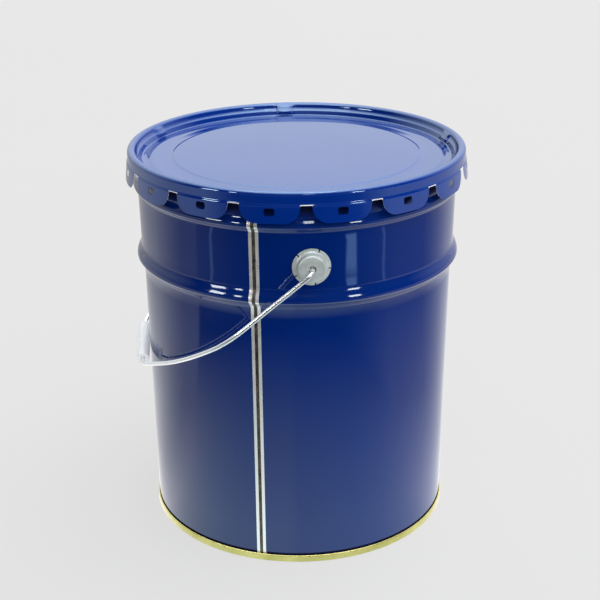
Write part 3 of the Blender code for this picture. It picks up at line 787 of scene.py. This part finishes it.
def add_head(shape, side, turn):
    """The rolled head that keeps one end of the wire inside its ear."""
    seat = EAR_WALL + EAR_DEPTH - EAR_THICKNESS - HEAD_THICKNESS / 2
    half = HEAD_THICKNESS / 2
    corners = [(0.001, -half), (HEAD_RADIUS, -half), (HEAD_RADIUS, half), (0.001, half)]
    profile = rounded(corners, HEAD_ROUND, 3)
    discs = []
    for r, h in profile:
        disc = []
        for j in range(HEAD_SIDES):
            angle = math.tau * j / HEAD_SIDES
            place = turn @ Vector((r * math.cos(angle), side * (seat + h), r * math.sin(angle)))
            disc.append(shape.verts.new((place + Vector((0, 0, HINGE_HEIGHT))) * MM))
        discs.append(disc)
    for low, high in zip(discs, discs[1:]):
        for j in range(HEAD_SIDES):
            k = (j + 1) % HEAD_SIDES
            shape.faces.new((low[j], low[k], high[k], high[j]))
    shape.faces.new(discs[0])
    shape.faces.new(discs[-1])


def build_bail(metal):
    """The wire swept with texture coordinates round and along it, and a rolled head at each end."""
    half = bail_half_path()
    flat = [(-a, r) for a, r in half] + [(0.0, BAIL_REACH)] + [(a, r) for a, r in half[::-1]]
    turn = Matrix.Rotation(-REST_ANGLE, 4, 'Y')
    path = [Vector((0, 0, HINGE_HEIGHT)) + turn @ Vector((-r, a, 0.0)) for a, r in flat]
    plane = turn @ Vector((0.0, 0.0, 1.0))
    sides = WIRE_SIDES
    shape = bmesh.new()
    uv_layer = shape.loops.layers.uv.new("UVMap")
    rings, travelled = [], [0.0]
    for i, here in enumerate(path):
        before = path[max(0, i - 1)]
        after = path[min(len(path) - 1, i + 1)]
        along = (after - before).normalized()
        across = along.cross(plane).normalized()
        ring = []
        for j in range(sides):
            angle = math.tau * j / sides
            outward = across * math.cos(angle) + plane * math.sin(angle)
            ring.append(shape.verts.new((here + outward * WIRE_RADIUS) * MM))
        rings.append(ring)
        if i:
            travelled.append(travelled[-1] + (here - path[i - 1]).length)
    for i in range(len(rings) - 1):
        for j in range(sides):
            k = (j + 1) % sides
            face = shape.faces.new((rings[i][j], rings[i][k], rings[i + 1][k], rings[i + 1][j]))
            corners = ((j, i), (j + 1, i), (j + 1, i + 1), (j, i + 1))
            for loop, (around, step) in zip(face.loops, corners):
                loop[uv_layer].uv = (around / sides, travelled[step] / 100.0)
    shape.faces.new(rings[0][::-1])
    shape.faces.new(rings[-1])
    for side in (-1.0, 1.0):
        add_head(shape, side, turn)
    bmesh.ops.recalc_face_normals(shape, faces=shape.faces)
    mesh = bpy.data.meshes.new("bail")
    shape.to_mesh(mesh)
    shape.free()
    return finish_object("bail_rod", mesh, [metal], 50.0)


def build_grip(plastic):
    """A moulded tube with softened ends, a slight waist and a fine parting line."""
    end = GRIP_LENGTH / 2
    outer = []
    for i in range(GRIP_STEPS + 1):
        share = i / GRIP_STEPS
        radius = GRIP_RADIUS - GRIP_WAIST * math.cos(math.pi * share) ** 2
        outer.append((radius, -end + 1.2 + (GRIP_LENGTH - 2.4) * share))
    low = arc(GRIP_RADIUS - 1.1, -end + 1.1, 1.0, -90, -8, 5)
    high = arc(GRIP_RADIUS - 1.1, end - 1.1, 1.0, 8, 90, 5)
    outline = [(GRIP_BORE + 0.2, -end)] + low + outer + high
    outline += [(GRIP_BORE + 0.2, end), (GRIP_BORE, end - 0.4), (GRIP_BORE, -end + 0.4)]

    def parting(azimuth, r, z):
        away = min(abs(angle_between(azimuth, 90.0)), abs(angle_between(azimuth, -90.0)))
        return r + (PARTING_HEIGHT if r > GRIP_RADIUS - 1.2 and away < PARTING_HALF else 0.0)

    edges = [azimuth + side * PARTING_HALF for azimuth in (90.0, 270.0) for side in (-1, 1)]
    mesh = revolve(outline, even_azimuths(GRIP_TURNS, edges), None, parting)
    item = finish_object("grip_tube", mesh, [plastic], 40.0)
    across, drop = BAIL_REACH * math.cos(REST_ANGLE), BAIL_REACH * math.sin(REST_ANGLE)
    centre = Vector((-across, 0.0, HINGE_HEIGHT - drop))
    item.matrix_world = Matrix.Translation(centre * MM) @ Matrix.Rotation(math.pi / 2, 4, 'X')
    return item


# ---- stage, light and camera
CAMERA_AZIMUTH = -4.6
CAMERA_DISTANCE = 1.2234
CAMERA_HEIGHT = 0.7010
CAMERA_TURN = 0.10
CAMERA_PITCH = 22.01
CAMERA_ROLL = -0.457
CAMERA_LENS = 80.84
FLOOR_RADIUS, REFLECTED_RADIUS = 14.0, 6.0
# Names, azimuth from the camera's and elevation in degrees, width and height in metres, strength
LAMP_DISTANCE, LAMP_CENTRE = 1.5, 0.2
LAMPS = (
    ("lamp_left", -55.6, 22.0, 0.26, 0.24, 14.0),
    ("lamp_left_near", -40.1, 22.0, 0.12, 0.20, 14.0),
    ("lamp_right", 38.3, 22.0, 0.19, 0.24, 14.0),
    ("lamp_front", 8.0, 38.0, 0.14, 0.10, 9.0),
    ("lamp_over_right", 23.0, 66.0, 0.34, 0.07, 22.0),
    ("lamp_over_left", -54.0, 66.0, 0.30, 0.06, 12.0))
# Bright strips on the reflected floor: where each leaves the can, its azimuth, half width, start and strength
STRIPS = (
    ((-0.0745, -0.1285), -64.6, 0.006, 0.57, 0.45),
    ((0.0745, -0.1285), 64.6, 0.006, 0.64, 0.50),
    ((0.0467, -0.1412), 39.0, 0.046, 0.64, 1.0))
STRIP_SOFT, STRIP_FADE, STRIP_END = 0.014, 0.05, 1.05


def build_camera():
    data = bpy.data.cameras.new("camera")
    data.lens = CAMERA_LENS
    data.sensor_width = 36.0
    data.clip_start = 0.05
    data.clip_end = 60.0
    camera = bpy.data.objects.new("camera", data)
    bpy.context.scene.collection.objects.link(camera)
    around = math.radians(CAMERA_AZIMUTH)
    heading = math.radians(CAMERA_TURN - CAMERA_AZIMUTH)
    pitch, roll = math.radians(CAMERA_PITCH), math.radians(CAMERA_ROLL)
    level = math.cos(pitch)
    forward = Vector((math.sin(heading) * level, math.cos(heading) * level, -math.sin(pitch)))
    right = Vector((math.cos(heading), -math.sin(heading), 0.0))
    up = right.cross(forward)
    tilted_right = right * math.cos(roll) + up * math.sin(roll)
    tilted_up = up * math.cos(roll) - right * math.sin(roll)
    turn = Matrix((tilted_right, tilted_up, -forward)).transposed().to_4x4()
    place = Vector((CAMERA_DISTANCE * math.sin(around), -CAMERA_DISTANCE * math.cos(around), CAMERA_HEIGHT))
    camera.matrix_world = Matrix.Translation(place) @ turn
    bpy.context.scene.camera = camera


def build_floor():
    """Pale studio sweep; part of its brightness is the even light that comes through it from below."""
    shape = bmesh.new()
    bmesh.ops.create_circle(shape, cap_ends=True, segments=96, radius=FLOOR_RADIUS)
    mesh = bpy.data.meshes.new("floor")
    shape.to_mesh(mesh)
    shape.free()
    material, tree, where, shader = new_material("pale_floor", (0.8, 0.8, 0.8))
    cloud = tree.noise(where, 2.0, 2.0)
    link(tree, tree.mix(cloud, (0.106, 0.106, 0.106, 1.0), (0.112, 0.112, 0.112, 1.0)), shader, "Base Color")
    shader.inputs["Roughness"].default_value = 0.9
    shader.inputs["Specular IOR Level"].default_value = 0.1
    shader.inputs["Emission Color"].default_value = (1.0, 1.0, 1.0, 1.0)
    shader.inputs["Emission Strength"].default_value = 0.622
    floor = bpy.data.objects.new("floor", mesh)
    mesh.materials.append(material)
    bpy.context.scene.collection.objects.link(floor)
    floor.location = (0.0, 0.0, -0.0004)


def build_world():
    """Soft studio: bright behind and overhead, dark in front below the lamps, stronger from the right."""
    world = bpy.data.worlds.new("studio")
    bpy.context.scene.world = world
    world.use_nodes = True
    tree = Tree(world.node_tree)
    direction = tree.node("ShaderNodeTexCoord").outputs["Generated"]
    split = tree.node("ShaderNodeSeparateXYZ", {"Vector": direction})
    flat = tree.math("SQRT", tree.math("SUBTRACT", 1.0, tree.math("POWER", split.outputs["Z"], 2.0)))
    facing = tree.math("DIVIDE", split.outputs["Y"], tree.math("MAXIMUM", flat, 0.001))
    behind = tree.remap(facing, -0.15, 0.85, 0.0, 1.0)
    height = tree.math("MAXIMUM", split.outputs["Z"], 0.0)
    overhead = tree.math("POWER", tree.remap(height, 0.55, 1.0, 0.0, 1.0), 2.0)
    front = tree.math("MULTIPLY_ADD", overhead, 6.0, 0.015)
    back = tree.math("MULTIPLY_ADD", height, 1.9, 0.82)
    back = tree.math("MULTIPLY_ADD", tree.math("POWER", height, 4.0), 2.2, back)
    glossy = tree.node("ShaderNodeMix", data_type="FLOAT")
    tree.tree.links.new(behind, glossy.inputs[0])
    tree.tree.links.new(front, glossy.inputs[2])
    tree.tree.links.new(back, glossy.inputs[3])
    from_side = tree.math("MAXIMUM", tree.math("MULTIPLY_ADD", split.outputs["X"], 1.35, 1.0), 0.12)
    diffuse = tree.math("MULTIPLY", from_side, tree.math("MULTIPLY_ADD", height, 1.9, 0.3))
    path = tree.node("ShaderNodeLightPath")
    strength = tree.node("ShaderNodeMix", data_type="FLOAT")
    tree.tree.links.new(path.outputs["Is Glossy Ray"], strength.inputs[0])
    tree.tree.links.new(diffuse, strength.inputs[2])
    tree.tree.links.new(glossy.outputs[0], strength.inputs[3])
    tint = tree.mix(path.outputs["Is Glossy Ray"], (1.0, 1.0, 1.0, 1.0), (0.93, 1.0, 1.05, 1.0))
    shade = tree.node("ShaderNodeBackground", {"Color": tint, "Strength": strength.outputs[0]})
    plain = tree.node("ShaderNodeBackground", {"Color": (0.80, 0.80, 0.80, 1.0), "Strength": 1.0})
    choose = tree.node("ShaderNodeMixShader", {0: path.outputs["Is Camera Ray"], 1: shade.outputs[0],
                                               2: plain.outputs[0]})
    out = tree.node("ShaderNodeOutputWorld")
    tree.tree.links.new(choose.outputs[0], out.inputs["Surface"])


def glossy_only(item):
    """Make an object seen only in reflections."""
    item.visible_camera = False
    item.visible_diffuse = False
    item.visible_shadow = False
    item.visible_transmission = False
    item.visible_volume_scatter = False


def floor_strip(tree, x, y, start, azimuth, width, near):
    """Mask of a strip that runs outwards over the floor from a point, at an azimuth."""
    angle = math.radians(azimuth)
    along_x, along_y = math.sin(angle), -math.cos(angle)
    shift_x = tree.math("SUBTRACT", x, start[0])
    shift_y = tree.math("SUBTRACT", y, start[1])
    along = tree.math("ADD", tree.math("MULTIPLY", shift_x, along_x), tree.math("MULTIPLY", shift_y, along_y))
    across = tree.math("MULTIPLY", shift_y, -along_x)
    across = tree.math("SUBTRACT", tree.math("MULTIPLY", shift_x, -along_y), across)
    across = tree.math("ABSOLUTE", across)
    inside = tree.remap(across, width, width + STRIP_SOFT, 1.0, 0.0)
    begun = tree.remap(along, near, near + STRIP_FADE, 0.0, 1.0)
    ended = tree.remap(along, STRIP_END, STRIP_END + STRIP_FADE, 1.0, 0.0)
    return tree.math("MULTIPLY", inside, tree.math("MULTIPLY", begun, ended))


def build_reflected_floor():
    """What the gloss sees of the studio floor: white near the can, dark towards the room in front."""
    shape = bmesh.new()
    bmesh.ops.create_circle(shape, cap_ends=True, segments=96, radius=REFLECTED_RADIUS)
    mesh = bpy.data.meshes.new("reflected_floor")
    shape.to_mesh(mesh)
    shape.free()
    material = bpy.data.materials.new("reflected_floor")
    material.use_nodes = True
    tree = Tree(material.node_tree)
    where = tree.node("ShaderNodeTexCoord").outputs["Object"]
    split = tree.node("ShaderNodeSeparateXYZ", {"Vector": where})
    x, y = split.outputs["X"], split.outputs["Y"]
    distance = tree.node("ShaderNodeVectorMath", {0: where}, operation="LENGTH").outputs["Value"]
    side = tree.math("DIVIDE", x, distance)
    facing = tree.math("DIVIDE", tree.math("MULTIPLY", y, -1.0), distance)
    near = tree.math("POWER", tree.remap(distance, 0.19, 0.66, 1.0, 0.0), 1.25)
    near = tree.math("MULTIPLY", near, tree.remap(facing, 0.85, 0.3, 0.95, 1.30))
    on_left = tree.remap(side, 0.0, -0.1, 0.0, 1.0)
    lift = tree.math("MULTIPLY_ADD", on_left, tree.remap(facing, -0.70, 0.30, -0.30, 0.18), 1.0)
    near = tree.math("MULTIPLY", near, lift)
    left = tree.math("MULTIPLY", tree.remap(facing, 0.365, 0.315, 0.0, 1.0), on_left)
    right = tree.remap(side, 0.0, 0.1, 0.0, 1.0)
    right = tree.math("MULTIPLY", tree.remap(facing, 0.90, 0.45, 0.0, 1.0), right)
    left = tree.math("MULTIPLY", left, tree.remap(distance, 0.34, 0.85, 0.75, 0.33))
    right = tree.math("MULTIPLY", right, tree.remap(distance, 0.40, 0.85, 0.60, 0.05))
    hazy = tree.remap(distance, 0.55, 0.80, 0.0, 1.0)
    hazy = tree.math("MULTIPLY", tree.remap(facing, 0.92, 0.35, 0.0, 0.20), hazy)
    ring = tree.remap(distance, 1.02, 1.12, 0.0, 0.60)
    ring = tree.math("MULTIPLY", tree.remap(facing, 0.80, 0.50, 0.0, 1.0), ring)
    glow = tree.math("MAXIMUM", near, tree.math("MAXIMUM", left, right))
    glow = tree.math("MAXIMUM", glow, tree.math("MAXIMUM", hazy, ring))
    turned_away = tree.math("MULTIPLY_ADD", tree.math("MAXIMUM", side, 0.0), 0.2, facing)
    open_side = tree.remap(turned_away, 0.10, -0.45, 0.0, 1.0)
    level = tree.node("ShaderNodeMix", data_type="FLOAT")
    tree.tree.links.new(open_side, level.inputs[0])
    tree.tree.links.new(glow, level.inputs[2])
    trim = tree.math("MULTIPLY_ADD", on_left, tree.remap(facing, -0.90, -0.25, -0.20, 0.20), 1.0)
    foot = tree.math("MULTIPLY_ADD", on_left, tree.remap(distance, 0.22, 0.34, -0.14, 0.0), 1.0)
    open_level = tree.remap(distance, 0.30, 0.85, 1.08, 0.72)
    open_level = tree.math("MULTIPLY", open_level, tree.math("MULTIPLY", trim, foot))
    tree.tree.links.new(open_level, level.inputs[3])
    neutral = tree.remap(facing, 0.85, 0.30, 0.0, 1.0)
    tint = tree.mix(neutral, (0.88, 1.05, 1.05, 1.0), (1.0, 1.0, 1.0, 1.0))
    glow = tree.mix(1.0, tint, level.outputs[0], "MULTIPLY")
    for start, azimuth, width, near_end, strength in STRIPS:
        strip = floor_strip(tree, x, y, start, azimuth, width, near_end)
        glow = tree.mix(tree.math("MULTIPLY", strip, strength), glow, (0.84, 1.42, 2.3, 1.0), "ADD")
    light = tree.node("ShaderNodeEmission", {"Color": glow, "Strength": 1.0})
    out = tree.node("ShaderNodeOutputMaterial")
    tree.tree.links.new(light.outputs[0], out.inputs["Surface"])
    item = bpy.data.objects.new("reflected_floor", mesh)
    mesh.materials.append(material)
    bpy.context.scene.collection.objects.link(item)
    item.location = (0.0, 0.0, -0.0002)
    item.rotation_euler = (0.0, 0.0, math.radians(CAMERA_AZIMUTH))
    glossy_only(item)


def build_soft_box(name, azimuth, elevation, width, height, strength):
    """A lamp that faces the can; its azimuth counts from the camera's."""
    shape = bmesh.new()
    bmesh.ops.create_grid(shape, x_segments=1, y_segments=1, size=0.5)
    mesh = bpy.data.meshes.new(name)
    shape.to_mesh(mesh)
    shape.free()
    material = bpy.data.materials.new(name)
    material.use_nodes = True
    tree = Tree(material.node_tree)
    light = tree.node("ShaderNodeEmission", {"Strength": strength})
    out = tree.node("ShaderNodeOutputMaterial")
    tree.tree.links.new(light.outputs[0], out.inputs["Surface"])
    mesh.materials.append(material)
    item = bpy.data.objects.new(name, mesh)
    bpy.context.scene.collection.objects.link(item)
    a, e = math.radians(CAMERA_AZIMUTH + azimuth), math.radians(elevation)
    away = Vector((math.sin(a) * math.cos(e), -math.cos(a) * math.cos(e), math.sin(e)))
    item.location = away * LAMP_DISTANCE + Vector((0, 0, LAMP_CENTRE))
    item.rotation_mode = 'QUATERNION'
    item.rotation_quaternion = away.to_track_quat('Z', 'Y')
    item.scale = (width, height, 1.0)
    glossy_only(item)


def show_settings():
    scene = bpy.context.scene
    scene.view_settings.view_transform = 'Standard'
    scene.view_settings.look = 'None'
    scene.view_settings.exposure = 0.0
    scene.view_settings.gamma = 1.0


build_camera()
build_world()
build_floor()
build_reflected_floor()
for lamp in LAMPS:
    build_soft_box(*lamp)
show_settings()

BLUE_DEEP, BLUE_LIGHT = (0.0002, 0.0150, 0.138), (0.0005, 0.0180, 0.158)
LID_DEEP, LID_LIGHT = (0.0003, 0.020, 0.195), (0.0008, 0.025, 0.218)
# The two heights given to the body's enamel paint shade just above the bottom seam and under the lid's lugs.
body_paint = enamel("body_enamel_gloss", BLUE_DEEP, BLUE_LIGHT, 1.6, (0.92, 1.0, 1.0), (0.0088, 0.3415))
lid_paint = enamel("lid_enamel_gloss", LID_DEEP, LID_LIGHT, 1.85, (0.62, 0.84, 1.0))
margin_tin = tinplate("margin_tinplate", (0.95, 0.94, 0.93), (0.84, 0.83, 0.81), 0.26, 0.62)
lining_tin = tinplate("inside_tinplate", (0.66, 0.64, 0.58), (0.52, 0.50, 0.45), 0.32)
edge_tin = tinplate("cut_edge_tin", (0.86, 0.86, 0.88), (0.66, 0.66, 0.68), 0.3, 0.25)
# Painted shade: the lid's underside is a dark grey tin that stands in for the shade under the lid, also where
# the neck reflects it.
underside_shade_tin = tinplate("lid_underside_painted_shade", (0.20, 0.20, 0.21), (0.10, 0.10, 0.11), 0.45, 0.6)
zinc = zinc_plate()

body = build_body(body_paint, margin_tin, weld_line(), lining_tin)
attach(body, "can")
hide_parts("body_shell")

bottom = build_bottom(gold_lacquer())
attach(bottom, "can")
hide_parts("bottom_end")

for ear_name, ear_side in (("ear_front", -1), ("ear_rear", 1)):
    ear = build_ear(ear_name + "_pressing", ear_side, zinc)
    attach(ear, "can")
    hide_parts(ear_name)

bail = build_bail(galvanised_wire())
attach(bail, "bail")
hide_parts("bail_wire")

grip = build_grip(polyethylene())
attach(grip, "grip")
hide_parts("bail_grip")

lid = build_lid(lid_paint, edge_tin, underside_shade_tin)
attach(lid, "lid")
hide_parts("lid_panel")

gasket = build_gasket(rubber("gasket_rubber_matt", (0.055, 0.055, 0.058), (0.12, 0.12, 0.12)))
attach(gasket, "lid")
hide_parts("lid_gasket")

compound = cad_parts["bottom_seam_compound"]
compound_material = rubber("seam_compound_matt", (0.55, 0.51, 0.42), (0.68, 0.64, 0.54))
for material_slot in compound.material_slots:
    material_slot.material = compound_material
